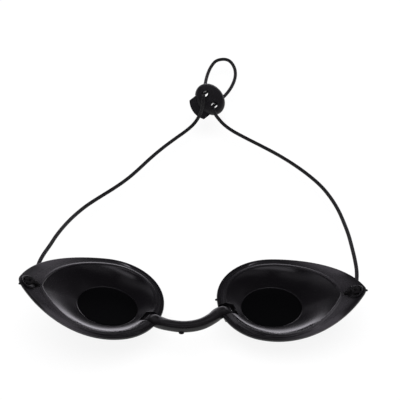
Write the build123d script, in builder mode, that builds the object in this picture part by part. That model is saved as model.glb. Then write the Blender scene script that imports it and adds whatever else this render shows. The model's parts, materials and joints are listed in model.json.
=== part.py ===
from build123d import *

import os
from math import atan2, cos, hypot, pi, radians, sin, sqrt, tan

# Tanning goggles with two moulded eye cups, a flexible bridge and an elastic head cord.
# They lie on their fronts with the hollow side up. X runs to the right cup, Y away from the
# brow edge, Z up, and the origin is on the table under the middle of the cups. Sizes in mm.

# Rim outline of an eye cup, in the cup's own frame: U out to the temple, V towards the cheek,
# W up from the table, with the origin under the middle of the lens
RIM_NOSE_RADIUS = 24.2
RIM_NOSE_CENTRE = 0.4
RIM_SIDE_RADIUS = 41.4
RIM_TIP_RADIUS = 4.1
RIM_TIP_CENTRE = 35.8

# Heights of the rim, and how it bends round the face
RIM_HEIGHT = 7.2
TIP_RISE = 8.1
NOSE_RISE = 1.0
CHEEK_RISE = 2.4

# Brim: the matt sealing face between the rim and the crest
BRIM_THICKNESS = 1.5
BRIM_EDGE_ROUND = 0.4
BRIM_STEP_INSET = 1.9
BRIM_STEP_WIDTH = 0.4
BRIM_STEP_HEIGHT = 0.3
CREST_HEIGHT = 0.55
CREST_WIDTH = 0.9

# Crest outline, where the glossy bowl begins
CREST_NOSE_RADIUS = 19.9
CREST_NOSE_CENTRE = -0.3
CREST_SIDE_RADIUS = 29.5
CREST_TIP_RADIUS = 4.4
CREST_TIP_CENTRE = 25.2

# Bowl and the round collar that holds the lens
APERTURE_RADIUS = 13.1
MOUTH_LEDGE = 0.3
FLOOR_HEIGHT = 2.1
COLLAR_RADIUS = 15.5
COLLAR_HEIGHT = 1.6
BODY_INSET = 3.2
BOWL_SWELL = 0.4

# Lens: a stepped disc pressed in from the front behind a retaining lip
LENS_FLANGE_RADIUS = 13.9
LENS_FLANGE_THICKNESS = 0.9
LENS_EDGE_CHAMFER = 0.2
LENS_CLEARANCE = 0.1
LENS_SIDE_CLEARANCE = 0.15
FRONT_LIP_HEIGHT = 0.5
FRONT_LIP_OVERLAP = 0.4
LENS_PROUD = 0.1

# Tip pocket for the cord's knot, and the cord hole beside it
KNOT_POCKET_RADIUS = 3.5
KNOT_POCKET_U = 35.1
KNOT_POCKET_DEPTH = 1.0
KNOT_POCKET_OVERRUN = 3.0
CORD_HOLE_RADIUS = 1.5
CORD_HOLE_U = 31.4

# Bridge and the notch in each rim that it is seated in
BRIDGE_WIDTH = 5.4
BRIDGE_HEIGHT = 4.4
NOTCH_CLEARANCE = 0.4
NOTCH_CORNER = 1.2
NOTCH_INNER_REACH = 16.5
BRIDGE_AXIS_HEIGHT = 5.6
SOCKET_WIDTH = 8.4
SOCKET_INNER_REACH = 18.6
SOCKET_OUTER_REACH = 23.4
SOCKET_BOTTOM = 1.7
SOCKET_TOP = 5.9

# Where each cup stands, how far its tip is turned towards the brow, and how far it leans up
CUP_SIDES = {"left": -1, "right": 1}
CUP_X = {"left": -37.3, "right": 33.74}
CUP_Y = {"left": -0.9, "right": 1.9}
CUP_YAW = {"left": 10.5, "right": 5.5}
CUP_LEAN = {"left": 11.0, "right": 0.0}
NOTCH_ANGLE = {"left": 36.0, "right": 25.0}

# Braided elastic cord
CORD_DIAMETER = 1.75
CORD_ARC_SHARE = 0.45
KNOT_LENGTH = 4.4
KNOT_WIDTH = 3.4
STUB_DROP = 3.2

# Cord lock: an oval shell with two cord holes and a sprung plunger
LOCK_X = 7.9
LOCK_Y = 156.8
LOCK_HEIGHT = 10.1
LOCK_LEAN = 30.0
LOCK_TURN = 52.0
LOCK_LENGTH = 17.4
LOCK_WIDTH = 13.2
LOCK_DEPTH = 9.0
LOCK_ROUND = 1.6
LOCK_HOLE_RADIUS = 2.1
LOCK_HOLE_SPACING = 7.7
LOCK_CORD_OFFSET = 1.15
POCKET_WIDTH = 12.4
POCKET_DEPTH = 5.6
POCKET_END = 4.6
POCKET_CORNER = 2.6
PLUNGER_CLEARANCE = 0.2
PLUNGER_PROUD = 4.0
PLUNGER_FACE_RADIUS = 10.0
PLUNGER_TRAVEL = 2.2
SLOT_WIDTH = 3.0
SLOT_BEYOND_CORD = 2.4
TOOTH_WIDTH = 1.1
TOOTH_GAP = 0.05
SPRING_WIRE = 0.45
SPRING_RADIUS = 1.25
SPRING_TURNS = 5
SPRING_BORE_CLEARANCE = 0.25
SPRING_SEAT_DEPTH = 1.0
SPRING_BORE_DEPTH = 3.4

# One overrun for every cut, and the steps along each arc of a section
OVERRUN = 1.0
NOSE_STEPS = 8
SIDE_STEPS = 6
TIP_STEPS = 3
BOWL_STEP_SHARES = (0.75, 0.5, 0.25)

RIM_TIP_REACH = RIM_TIP_CENTRE + RIM_TIP_RADIUS
RIM_NOSE_REACH = RIM_NOSE_RADIUS - RIM_NOSE_CENTRE
CORD_RADIUS = CORD_DIAMETER / 2

os.makedirs("parts", exist_ok=True)


def arc_points(centre_u, centre_v, radius, start, end, steps):
    """Points along an arc, without its last one."""
    turns = [start + (end - start) * i / steps for i in range(steps)]
    return [(centre_u + radius * cos(t), centre_v + radius * sin(t)) for t in turns]


def leaf(nose_radius, nose_centre, side_radius, tip_radius, tip_centre):
    """Points round a leaf of tangent arcs, from the nose end over the cheek side."""
    span = tip_centre - nose_centre
    near = side_radius - nose_radius
    far = side_radius - tip_radius
    along = (near**2 - far**2 + span**2) / (2 * span)
    side_u = nose_centre + along
    side_v = -sqrt(near**2 - along**2)
    nose_turn = atan2(-side_v, nose_centre - side_u)
    tip_turn = atan2(-side_v, tip_centre - side_u)
    half = arc_points(nose_centre, 0, nose_radius, pi, nose_turn, NOSE_STEPS)
    half += arc_points(side_u, side_v, side_radius, nose_turn, tip_turn, SIDE_STEPS)
    half += arc_points(tip_centre, 0, tip_radius, tip_turn, 0, TIP_STEPS)
    tip = (tip_centre + tip_radius, 0)
    return half + [tip] + [(u, -v) for u, v in reversed(half[1:])]


def rim_leaf(inset):
    """The rim outline, drawn in by an inset."""
    return leaf(
        RIM_NOSE_RADIUS - inset,
        RIM_NOSE_CENTRE,
        RIM_SIDE_RADIUS - inset,
        RIM_TIP_RADIUS - inset,
        RIM_TIP_CENTRE,
    )


def crest_leaf(outset):
    """The crest outline, let out by an outset."""
    return leaf(
        CREST_NOSE_RADIUS + outset,
        CREST_NOSE_CENTRE,
        CREST_SIDE_RADIUS + outset,
        CREST_TIP_RADIUS + outset,
        CREST_TIP_CENTRE,
    )


def ring_like(outline, radius):
    """A circle's points at the polar angles of an outline's points."""
    return [(radius * u / hypot(u, v), radius * v / hypot(u, v)) for u, v in outline]


def bend(u, v):
    """How far the rim is lifted at a place, to follow the face."""
    if u > 0:
        lift = TIP_RISE * (u / RIM_TIP_REACH) ** 2
    else:
        lift = NOSE_RISE * (u / RIM_NOSE_REACH) ** 2
    return lift + CHEEK_RISE * v / RIM_NOSE_RADIUS


def flat_section(outline, height):
    """An outline at one height."""
    return [(u, v, height) for u, v in outline]


def bent_section(outline, height):
    """An outline that follows the bend of the rim."""
    return [(u, v, height + bend(u, v)) for u, v in outline]


def between(low, high, share):
    """A section part of the way up the bowl's curved wall."""
    rise = share * (1 + BOWL_SWELL * (1 - share))
    return [
        (a[0] + (b[0] - a[0]) * share, a[1] + (b[1] - a[1]) * share, a[2] + (b[2] - a[2]) * rise)
        for a, b in zip(low, high)
    ]


def closed_wire(points):
    """A smooth closed line through a section's points."""
    with BuildLine() as line:
        Spline(*points, periodic=True)
    return line.wire()


def notch_plane(angle):
    """The plane across the bridge's axis, at the middle of a cup, looking out to the notch."""
    out = (-cos(radians(angle)), -sin(radians(angle)), 0)
    return Plane(origin=(0, 0, BRIDGE_AXIS_HEIGHT), x_dir=(-out[1], out[0], 0), z_dir=out)


def land_height(u):
    """Height of the land between the crest and the tip, on the cup's middle line."""
    return RIM_HEIGHT + BRIM_STEP_HEIGHT + bend(u, 0)


def eye_cup(angle):
    """One eye cup in its own frame, with its bridge notch at an angle below the nose side."""
    rim = rim_leaf(0)
    mouth = ring_like(crest_leaf(0), APERTURE_RADIUS + MOUTH_LEDGE)
    mouth_low = flat_section(mouth, FLOOR_HEIGHT)
    crest_inner = bent_section(crest_leaf(-CREST_WIDTH / 2), RIM_HEIGHT + BRIM_STEP_HEIGHT)
    sections = [
        flat_section(ring_like(rim, COLLAR_RADIUS), 0),
        flat_section(ring_like(rim, COLLAR_RADIUS), COLLAR_HEIGHT),
        bent_section(rim_leaf(BODY_INSET), RIM_HEIGHT - BRIM_THICKNESS),
        bent_section(rim_leaf(BRIM_EDGE_ROUND), RIM_HEIGHT - BRIM_THICKNESS),
        bent_section(rim, RIM_HEIGHT - BRIM_THICKNESS / 2),
        bent_section(rim_leaf(BRIM_EDGE_ROUND), RIM_HEIGHT),
        bent_section(rim_leaf(BRIM_STEP_INSET), RIM_HEIGHT),
        bent_section(rim_leaf(BRIM_STEP_INSET + BRIM_STEP_WIDTH), RIM_HEIGHT + BRIM_STEP_HEIGHT),
        bent_section(crest_leaf(CREST_WIDTH), RIM_HEIGHT + BRIM_STEP_HEIGHT),
        bent_section(crest_leaf(0), RIM_HEIGHT + CREST_HEIGHT),
        crest_inner,
    ]
    sections += [between(mouth_low, crest_inner, share) for share in BOWL_STEP_SHARES]
    sections.append(mouth_low)
    wires = [closed_wire(points) for points in sections]

    across = notch_plane(angle)
    socket_height = SOCKET_TOP - SOCKET_BOTTOM
    socket_middle = (SOCKET_TOP + SOCKET_BOTTOM) / 2 - BRIDGE_AXIS_HEIGHT
    pocket_slope = 2 * TIP_RISE * KNOT_POCKET_U / RIM_TIP_REACH**2
    pocket_floor = Plane(
        origin=(KNOT_POCKET_U, 0, land_height(KNOT_POCKET_U) - KNOT_POCKET_DEPTH),
        x_dir=(1, 0, pocket_slope),
        z_dir=(-pocket_slope, 0, 1),
    )
    with BuildPart() as cup:
        add(Solid.make_loft(wires, ruled=True))
        # Socket under the brim that carries the bridge
        with BuildSketch(across.offset(SOCKET_INNER_REACH)):
            with Locations((0, socket_middle)):
                Rectangle(SOCKET_WIDTH, socket_height)
        extrude(amount=SOCKET_OUTER_REACH - SOCKET_INNER_REACH)
        # Lens opening, its groove and the way in from the front
        with BuildSketch(Plane.XY):
            Circle(APERTURE_RADIUS)
        extrude(amount=FLOOR_HEIGHT + OVERRUN, mode=Mode.SUBTRACT)
        with BuildSketch(Plane.XY):
            Circle(LENS_FLANGE_RADIUS - FRONT_LIP_OVERLAP)
        extrude(amount=FRONT_LIP_HEIGHT, mode=Mode.SUBTRACT)
        with BuildSketch(Plane.XY.offset(FRONT_LIP_HEIGHT)):
            Circle(LENS_FLANGE_RADIUS + LENS_SIDE_CLEARANCE)
        extrude(amount=LENS_FLANGE_THICKNESS + LENS_CLEARANCE, mode=Mode.SUBTRACT)
        # Notch through crest and brim for the bridge
        with BuildSketch(across.offset(NOTCH_INNER_REACH)):
            with Locations((0, (RIM_HEIGHT - BRIDGE_HEIGHT) / 2)):
                RectangleRounded(
                    BRIDGE_WIDTH + 2 * NOTCH_CLEARANCE,
                    RIM_HEIGHT + 2 * NOTCH_CLEARANCE,
                    NOTCH_CORNER,
                )
        extrude(amount=RIM_NOSE_RADIUS + OVERRUN - NOTCH_INNER_REACH, mode=Mode.SUBTRACT)
        # Knot pocket and cord hole at the tip
        with BuildSketch(pocket_floor):
            Circle(KNOT_POCKET_RADIUS)
        extrude(amount=KNOT_POCKET_DEPTH + KNOT_POCKET_OVERRUN, mode=Mode.SUBTRACT)
        with BuildSketch(Plane.XY):
            with Locations((CORD_HOLE_U, 0)):
                Circle(CORD_HOLE_RADIUS)
        extrude(amount=RIM_HEIGHT + TIP_RISE, mode=Mode.SUBTRACT)
    return cup.part


def cup_lens():
    """One stepped lens in its cup's frame."""
    bottom = FRONT_LIP_HEIGHT + LENS_CLEARANCE / 2
    with BuildPart() as lens:
        with BuildSketch(Plane.XY.offset(bottom)):
            Circle(LENS_FLANGE_RADIUS)
        extrude(amount=LENS_FLANGE_THICKNESS)
        chamfer(lens.edges(), length=LENS_EDGE_CHAMFER)
        with BuildSketch(Plane.XY.offset(bottom + LENS_FLANGE_THICKNESS)):
            Circle(APERTURE_RADIUS - LENS_SIDE_CLEARANCE)
        extrude(amount=FLOOR_HEIGHT + LENS_PROUD - bottom - LENS_FLANGE_THICKNESS)
        chamfer(lens.faces().sort_by(Axis.Z)[-1].edges(), length=LENS_PROUD)
    return lens.part


def route_radii(points):
    """The largest tangent arc that the two runs at each corner allow."""
    radii = []
    for before, corner, after in zip(points, points[1:], points[2:]):
        back = Vector(*corner) - Vector(*before)
        on = Vector(*after) - Vector(*corner)
        half_turn = radians(back.get_angle(on)) / 2
        radii.append(CORD_ARC_SHARE * min(back.length, on.length) / tan(half_turn))
    return radii


def cord_tube(points):
    """A cord along straight runs joined by tangent arcs."""
    radii = route_radii(points)
    with BuildPart() as tube:
        with BuildLine():
            path = FilletPolyline(*points, radius=radii)
        with BuildSketch(Plane(origin=path @ 0, z_dir=path % 0)):
            Circle(CORD_RADIUS)
        sweep()
    expected = pi * CORD_RADIUS**2 * path.length
    print(
        f"  tube {path.length:.1f} long, least radius {min(radii):.1f}, "
        f"volume {tube.part.volume:.2f} of {expected:.2f}"
    )
    return tube.part


def cup_knot():
    """One knot with its stub down through the cord hole, in its cup's frame."""
    low = (CORD_HOLE_U, 0, land_height(CORD_HOLE_U) - STUB_DROP)
    top = land_height(KNOT_POCKET_U) - KNOT_POCKET_DEPTH + KNOT_WIDTH / 2
    corner = (CORD_HOLE_U, 0, top)
    middle = (KNOT_POCKET_U, 0, top + BRIM_STEP_HEIGHT)
    with BuildPart() as knot:
        with BuildLine():
            path = FilletPolyline(low, corner, middle, radius=CORD_DIAMETER)
        with BuildSketch(Plane(origin=path @ 0, z_dir=path % 0)):
            Circle(CORD_RADIUS)
        sweep()
        with BuildSketch(Plane(origin=middle, x_dir=(1, 0, 0), z_dir=(0, -1, 0))):
            Ellipse(KNOT_LENGTH / 2, KNOT_WIDTH / 2)
            with Locations((0, -KNOT_WIDTH / 2)):
                Rectangle(KNOT_LENGTH, KNOT_WIDTH, mode=Mode.SUBTRACT)
        revolve(axis=Axis(middle, (1, 0, 0)))
    return knot.part


def cup_location(side):
    """Where a cup's own frame stands in the goggles' frame."""
    sign = CUP_SIDES[side]
    lift = COLLAR_RADIUS * sin(radians(CUP_LEAN[side]))
    return Location((CUP_X[side], CUP_Y[side], lift), (0, 0, -sign * CUP_YAW[side])) * Location(
        (0, 0, 0), (0, -sign * CUP_LEAN[side], 0)
    )


def placed(shape, side):
    """A cup's piece, turned over for the left side, at its place."""
    if CUP_SIDES[side] < 0:
        shape = mirror(shape, about=Plane.YZ, mode=Mode.PRIVATE)
    return shape.moved(cup_location(side))


def cup_point(side, u, v, w):
    """A place in a cup's own frame as a point of the goggles' frame."""
    local = Location((CUP_SIDES[side] * u, v, w))
    return (cup_location(side) * local).position


def notch_point(side, reach, height):
    """A point over the notch's middle line, at a reach from the middle of the lens."""
    turn = radians(NOTCH_ANGLE[side])
    return cup_point(side, -reach * cos(turn), -reach * sin(turn), height)


# Eye cups, lenses and knots
with BuildPart() as left_eye_cup:
    add(placed(eye_cup(NOTCH_ANGLE["left"]), "left"))
with BuildPart() as right_eye_cup:
    add(placed(eye_cup(NOTCH_ANGLE["right"]), "right"))
with BuildPart() as left_lens:
    add(placed(cup_lens(), "left"))
with BuildPart() as right_lens:
    add(placed(cup_lens(), "right"))
with BuildPart() as left_cord_knot:
    add(placed(cup_knot(), "left"))
with BuildPart() as right_cord_knot:
    add(placed(cup_knot(), "right"))

# Bridge: stations of its middle line with the width and height of its section
TAIL_STATIONS = (
    (16.8, 4.5, 3.6, 1.8),
    (18.4, 5.1, 5.2, 3.4),
    (20.4, 5.6, BRIDGE_WIDTH, BRIDGE_HEIGHT),
    (24.4, 5.6, BRIDGE_WIDTH, BRIDGE_HEIGHT),
)
BRIDGE_MIDDLE = ((-10.9, -14.3, 5.8), (-4.1, -15.5, 5.6), (2.9, -14.3, 5.8), (8.1, -10.5, 6.1))

stations = [(notch_point("left", r, h), w, t) for r, h, w, t in TAIL_STATIONS]
stations += [(Vector(*p), BRIDGE_WIDTH, BRIDGE_HEIGHT) for p in BRIDGE_MIDDLE]
stations += [(notch_point("right", r, h), w, t) for r, h, w, t in reversed(TAIL_STATIONS)]
centres = [station[0] for station in stations]
bridge_faces = []
for i, (centre, width, height) in enumerate(stations):
    along = centres[min(i + 1, len(centres) - 1)] - centres[max(i - 1, 0)]
    section_plane = Plane(origin=centre, x_dir=along.cross(Vector(0, 0, 1)), z_dir=along)
    with BuildSketch(section_plane) as section:
        Ellipse(width / 2, height / 2)
    bridge_faces.append(section.sketch)
with BuildPart() as nose_bridge:
    loft(bridge_faces)

# Cord lock, in a frame with X along its two holes, Y away from the plunger, Z out of its face
lean = radians(LOCK_LEAN)
turn = radians(LOCK_TURN)
lock_plane = Plane(
    origin=(LOCK_X, LOCK_Y, LOCK_HEIGHT),
    x_dir=(cos(turn), -sin(turn) * sin(lean), -sin(turn) * cos(lean)),
    z_dir=(0, -cos(lean), sin(lean)),
)
hole_places = [(-LOCK_HOLE_SPACING / 2, 0), (LOCK_HOLE_SPACING / 2, 0)]
pocket_length = POCKET_END + LOCK_WIDTH / 2 + OVERRUN + POCKET_CORNER
plunger_width = POCKET_WIDTH - 2 * PLUNGER_CLEARANCE
plunger_depth = POCKET_DEPTH - 2 * PLUNGER_CLEARANCE
plunger_inner_end = POCKET_END - PLUNGER_TRAVEL - PLUNGER_CLEARANCE
plunger_outer_end = -LOCK_WIDTH / 2 - PLUNGER_PROUD
plunger_length = plunger_inner_end - plunger_outer_end + POCKET_CORNER
spring_bore_radius = SPRING_RADIUS + SPRING_WIRE / 2 + SPRING_BORE_CLEARANCE

with BuildPart() as lock_shell:
    with BuildSketch(lock_plane.offset(-LOCK_DEPTH / 2)):
        Ellipse(LOCK_LENGTH / 2, LOCK_WIDTH / 2)
    extrude(amount=LOCK_DEPTH)
    fillet(lock_shell.edges(), radius=LOCK_ROUND)
    with BuildSketch(lock_plane.offset(-LOCK_DEPTH / 2 - OVERRUN)):
        with Locations(*hole_places):
            Circle(LOCK_HOLE_RADIUS)
    extrude(amount=LOCK_DEPTH + 2 * OVERRUN, mode=Mode.SUBTRACT)
    with BuildSketch(lock_plane.offset(-POCKET_DEPTH / 2)):
        with Locations((0, POCKET_END - pocket_length / 2)):
            RectangleRounded(POCKET_WIDTH, pocket_length, POCKET_CORNER)
    extrude(amount=POCKET_DEPTH, mode=Mode.SUBTRACT)
    spring_axis = Plane(
        origin=lock_plane.from_local_coords(Vector(0, POCKET_END, 0)),
        z_dir=lock_plane.y_dir,
    )
    with BuildSketch(spring_axis):
        Circle(spring_bore_radius)
    extrude(amount=SPRING_SEAT_DEPTH, mode=Mode.SUBTRACT)

slot_outer = -LOCK_CORD_OFFSET - CORD_RADIUS - PLUNGER_TRAVEL - PLUNGER_CLEARANCE
slot_inner = -LOCK_CORD_OFFSET + SLOT_BEYOND_CORD
tooth_end = -LOCK_CORD_OFFSET + CORD_RADIUS + TOOTH_GAP
with BuildPart() as lock_plunger:
    with BuildSketch(lock_plane.offset(-plunger_depth / 2)):
        with Locations((0, plunger_outer_end + PLUNGER_FACE_RADIUS)):
            Circle(PLUNGER_FACE_RADIUS)
        with Locations((0, plunger_inner_end - plunger_length / 2)):
            RectangleRounded(plunger_width, plunger_length, POCKET_CORNER, mode=Mode.INTERSECT)
    extrude(amount=plunger_depth)
    with BuildSketch(lock_plane.offset(-plunger_depth / 2 - OVERRUN)):
        for place in hole_places:
            with Locations((place[0], (slot_outer + slot_inner) / 2)):
                SlotOverall(slot_inner - slot_outer, SLOT_WIDTH, rotation=90)
        for place in hole_places:
            with Locations((place[0], (tooth_end + slot_inner + TOOTH_WIDTH) / 2)):
                Rectangle(TOOTH_WIDTH, slot_inner - tooth_end + TOOTH_WIDTH, mode=Mode.SUBTRACT)
    extrude(amount=plunger_depth + 2 * OVERRUN, mode=Mode.SUBTRACT)

    with BuildSketch(spring_axis.offset(plunger_inner_end - POCKET_END)):
        Circle(spring_bore_radius)
    extrude(amount=-SPRING_BORE_DEPTH, mode=Mode.SUBTRACT)

spring_start = plunger_inner_end - SPRING_BORE_DEPTH + SPRING_WIRE / 2 + TOOTH_GAP
spring_end = POCKET_END + SPRING_SEAT_DEPTH - SPRING_WIRE / 2 - TOOTH_GAP
spring_pitch = (spring_end - spring_start) / SPRING_TURNS
with BuildPart() as lock_spring:
    with BuildLine():
        coil = Helix(
            pitch=spring_pitch,
            height=spring_end - spring_start,
            radius=SPRING_RADIUS,
            center=lock_plane.from_local_coords(Vector(0, spring_start, 0)),
            direction=lock_plane.y_dir,
        )
    with BuildSketch(Plane(origin=coil @ 0, z_dir=coil % 0)):
        Circle(SPRING_WIRE / 2)
    sweep(is_frenet=True)
print(f"  spring: least gap to itself {spring_pitch - SPRING_WIRE:.2f}")

# Routes of the cord, from each knot to the lock and round the loop behind it
LEFT_RUN = [
    (-65.86, -6.19, 18.09),
    (-66.31, -6.28, 15.74),
    (-66.7, -4.2, 13.0),
    (-67.5, 0.4, 12.2),
    (-68.3, 8.8, 12.2),
    (-68.1, 18.4, 12.1),
    (-66.4, 26.6, 11.5),
    (-64.3, 34.6, 10.1),
    (-62.0, 45.4, 8.2),
    (-58.7, 57.5, 5.5),
    (-55.3, 67.7, 3.0),
    (-50.7, 77.1, 1.4),
    (-44.5, 85.0, 0.9),
    (-37.9, 92.3, 0.9),
    (-31.8, 100.1, 0.9),
    (-26.7, 108.4, 0.9),
    (-21.5, 117.5, 0.9),
    (-15.5, 126.7, 0.9),
    (-9.1, 135.3, 0.9),
    (-3.5, 142.3, 1.0),
    (0.3, 146.3, 2.6),
    (2.7, 148.1, 6.2),
    (4.0, 147.1, 10.9),
    (4.45, 147.4, 14.9),
    (4.62, 150.6, 16.36),
    (4.62, 154.07, 14.36),
]
RIGHT_RUN = [
    (64.99, -1.11, 9.31),
    (64.99, -1.11, 6.91),
    (66.2, 1.1, 5.2),
    (68.6, 5.6, 4.9),
    (71.0, 13.2, 5.1),
    (72.1, 21.6, 5.1),
    (72.0, 31.4, 4.7),
    (71.5, 41.7, 3.8),
    (70.9, 53.0, 2.5),
    (69.6, 63.8, 1.4),
    (67.9, 74.1, 0.9),
    (65.1, 83.7, 0.9),
    (61.1, 93.6, 0.9),
    (55.2, 103.2, 0.9),
    (48.8, 111.8, 0.9),
    (40.9, 120.8, 0.9),
    (32.2, 129.1, 0.9),
    (24.4, 136.3, 0.9),
    (18.5, 142.1, 1.0),
    (14.5, 145.3, 2.6),
    (11.7, 146.3, 5.8),
    (9.9, 145.4, 9.4),
    (9.36, 147.57, 11.11),
    (9.36, 151.03, 9.11),
]
LOOP = [
    (4.62, 154.07, 14.36),
    (4.62, 164.46, 8.36),
    (5.0, 174.7, 4.4),
    (5.6, 185.3, 2.2),
    (6.6, 195.1, 1.1),
    (8.5, 203.9, 0.9),
    (11.7, 211.5, 0.9),
    (18.1, 212.3, 0.9),
    (21.4, 204.3, 0.9),
    (21.9, 194.5, 0.9),
    (19.9, 184.7, 0.9),
    (16.5, 175.3, 1.3),
    (12.3, 167.7, 2.0),
    (9.36, 161.43, 3.11),
    (9.36, 151.03, 9.11),
]
with BuildPart() as cord_left_run:
    add(cord_tube(LEFT_RUN))
with BuildPart() as cord_right_run:
    add(cord_tube(RIGHT_RUN))
with BuildPart() as cord_loop:
    add(cord_tube(LOOP))

pieces = {
    "left_eye_cup": left_eye_cup,
    "right_eye_cup": right_eye_cup,
    "left_lens": left_lens,
    "right_lens": right_lens,
    "nose_bridge": nose_bridge,
    "left_cord_knot": left_cord_knot,
    "right_cord_knot": right_cord_knot,
    "cord_left_run": cord_left_run,
    "cord_right_run": cord_right_run,
    "cord_loop": cord_loop,
    "lock_shell": lock_shell,
    "lock_plunger": lock_plunger,
    "lock_spring": lock_spring,
}
for name, piece in pieces.items():
    piece.part.label = name
    export_step(piece.part, f"parts/{name}.step")
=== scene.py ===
"""Tanning goggles with a head cord and a cord lock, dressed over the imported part.

The goggles lie on their fronts on a pale table, hollow side up, as the photograph shows them.
X runs to the right cup, Y away from the viewer, Z up. Pieces are built in metres. The classes
hold their sizes in millimetres and degrees, but finishes and lamps hold theirs in metres.
"""

from __future__ import annotations

import json
import logging
from dataclasses import dataclass, replace
from enum import Enum
from itertools import accumulate
from math import atan2, cos, degrees, hypot, pi, radians, sin, sqrt, tanh, tau

import bmesh
import bpy
from mathutils import Matrix, Vector

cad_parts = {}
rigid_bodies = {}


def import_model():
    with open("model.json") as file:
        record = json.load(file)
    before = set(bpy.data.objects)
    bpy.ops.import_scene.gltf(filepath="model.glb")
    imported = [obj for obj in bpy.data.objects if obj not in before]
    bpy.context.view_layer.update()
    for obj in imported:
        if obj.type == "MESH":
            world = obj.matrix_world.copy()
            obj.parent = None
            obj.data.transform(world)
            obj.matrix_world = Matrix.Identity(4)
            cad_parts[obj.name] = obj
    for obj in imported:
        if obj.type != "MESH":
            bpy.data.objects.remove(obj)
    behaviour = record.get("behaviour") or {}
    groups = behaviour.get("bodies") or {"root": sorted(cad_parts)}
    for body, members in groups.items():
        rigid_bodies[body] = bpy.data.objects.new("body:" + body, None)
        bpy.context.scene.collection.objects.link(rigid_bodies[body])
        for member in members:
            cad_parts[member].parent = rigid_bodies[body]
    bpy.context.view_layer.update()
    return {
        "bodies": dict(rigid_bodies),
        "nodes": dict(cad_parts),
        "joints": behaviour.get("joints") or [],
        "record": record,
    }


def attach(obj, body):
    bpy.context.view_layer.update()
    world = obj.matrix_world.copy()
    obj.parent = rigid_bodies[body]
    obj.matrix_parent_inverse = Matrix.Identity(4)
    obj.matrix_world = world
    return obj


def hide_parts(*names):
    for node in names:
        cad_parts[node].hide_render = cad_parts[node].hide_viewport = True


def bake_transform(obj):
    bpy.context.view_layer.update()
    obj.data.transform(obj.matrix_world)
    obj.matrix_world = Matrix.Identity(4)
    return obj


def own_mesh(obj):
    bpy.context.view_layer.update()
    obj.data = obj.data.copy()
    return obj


log = logging.getLogger("goggles")

MM = 0.001

Colour = tuple[float, float, float]
Pair = tuple[float, float]
Pairs = tuple[Pair, ...]
Outline = list[Pair]
Piece = bpy.types.Object
Place = tuple[float, float, float]
Ring = list[Vector]
Route = tuple[Place, ...]
Shape = bmesh.types.BMesh


class Side(Enum):
    """Which cup, as the sign of X that its tip points to."""

    LEFT = -1
    RIGHT = 1

    @property
    def word(self) -> str:
        """The side's name as the part's nodes use it."""
        return self.name.lower()


# Shader maths


class Port:
    """A value in a material, on which sums are written as sums."""

    def __init__(self, board: Board, socket: bpy.types.NodeSocket) -> None:
        """Wrap a socket of a board's node tree."""
        self.board = board
        self.socket = socket

    def _maths(self, operation: str, first: PortOrNumber, second: PortOrNumber) -> Port:
        """The result of an operation on two values."""
        return self.board.node("ShaderNodeMath", {"operation": operation}, {0: first, 1: second})

    def __add__(self, other: PortOrNumber) -> Port:
        """The sum."""
        return self._maths("ADD", self, other)

    def __radd__(self, other: PortOrNumber) -> Port:
        """The sum, a plain number first."""
        return self._maths("ADD", other, self)

    def __sub__(self, other: PortOrNumber) -> Port:
        """The difference."""
        return self._maths("SUBTRACT", self, other)

    def __rsub__(self, other: PortOrNumber) -> Port:
        """The difference, a plain number first."""
        return self._maths("SUBTRACT", other, self)

    def __mul__(self, other: PortOrNumber) -> Port:
        """The product."""
        return self._maths("MULTIPLY", self, other)

    def sine(self) -> Port:
        """The sine of the value."""
        return self._maths("SINE", self, 0.0)

    def larger(self, other: PortOrNumber) -> Port:
        """The larger of the value and another."""
        return self._maths("MAXIMUM", self, other)


PortOrNumber = Port | float


class Board:
    """A node tree that nodes are added to by type, settings and inputs."""

    def __init__(self, tree: bpy.types.NodeTree) -> None:
        """Empty a node tree and work on it."""
        self.tree = tree
        tree.nodes.clear()

    def raw(self, kind: str, settings: dict, inputs: dict) -> bpy.types.Node:
        """Add a node.

        Args:
            kind: The node's type.
            settings: Its settings, made before its inputs.
            inputs: A value or a Port for each of its sockets, by name or number.

        Returns:
            The node.
        """
        node = self.tree.nodes.new(kind)
        for name, value in settings.items():
            setattr(node, name, value)
        for name, value in inputs.items():
            socket = node.inputs[name]
            if isinstance(value, Port):
                self.tree.links.new(value.socket, socket)
            else:
                socket.default_value = value
        return node

    def node(self, kind: str, settings: dict, inputs: dict, output: str | int = 0) -> Port:
        """Add a node and take one of its outputs, by name or number."""
        return Port(self, self.raw(kind, settings, inputs).outputs[output])

    def ramp(self, factor: Port, stops: Pairs) -> Port:
        """A grey level that follows a factor through some stops.

        Args:
            factor: The value that picks the level.
            stops: Each stop's place and level.

        Returns:
            The level.
        """
        node = self.raw("ShaderNodeValToRGB", {}, {0: factor})
        elements = node.color_ramp.elements
        while len(elements) < len(stops):
            elements.new(0.5)
        for element, (place, level) in zip(elements, stops):
            element.position = place
            element.color = (level, level, level, 1)
        return Port(self, node.outputs[0])

    def attribute(self, name: str) -> Port:
        """A number that a mesh carries at each point."""
        return self.node("ShaderNodeAttribute", {"attribute_name": name}, {}, "Fac")

    def mix(self, factor: PortOrNumber, low: Colour, high: Colour) -> Port:
        """A colour part of the way from a low one to a high one."""
        inputs = {0: factor, 6: (*low, 1), 7: (*high, 1)}
        return self.node("ShaderNodeMix", {"data_type": "RGBA"}, inputs, 2)

    def noise(self, scale: float, detail: float = 2.0) -> Port:
        """Noise round one half in the object's own space, with a scale per metre."""
        place = self.node("ShaderNodeTexCoord", {}, {}, "Object")
        inputs = {"Vector": place, "Scale": scale, "Detail": detail}
        return self.node("ShaderNodeTexNoise", {}, inputs)

    def bump(self, height: Port, depth: float) -> Port:
        """A normal bent by a height, whose level one is a depth in metres."""
        inputs = {"Height": height, "Distance": depth, "Strength": 1.0}
        return self.node("ShaderNodeBump", {}, inputs)


# Finishes


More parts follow.
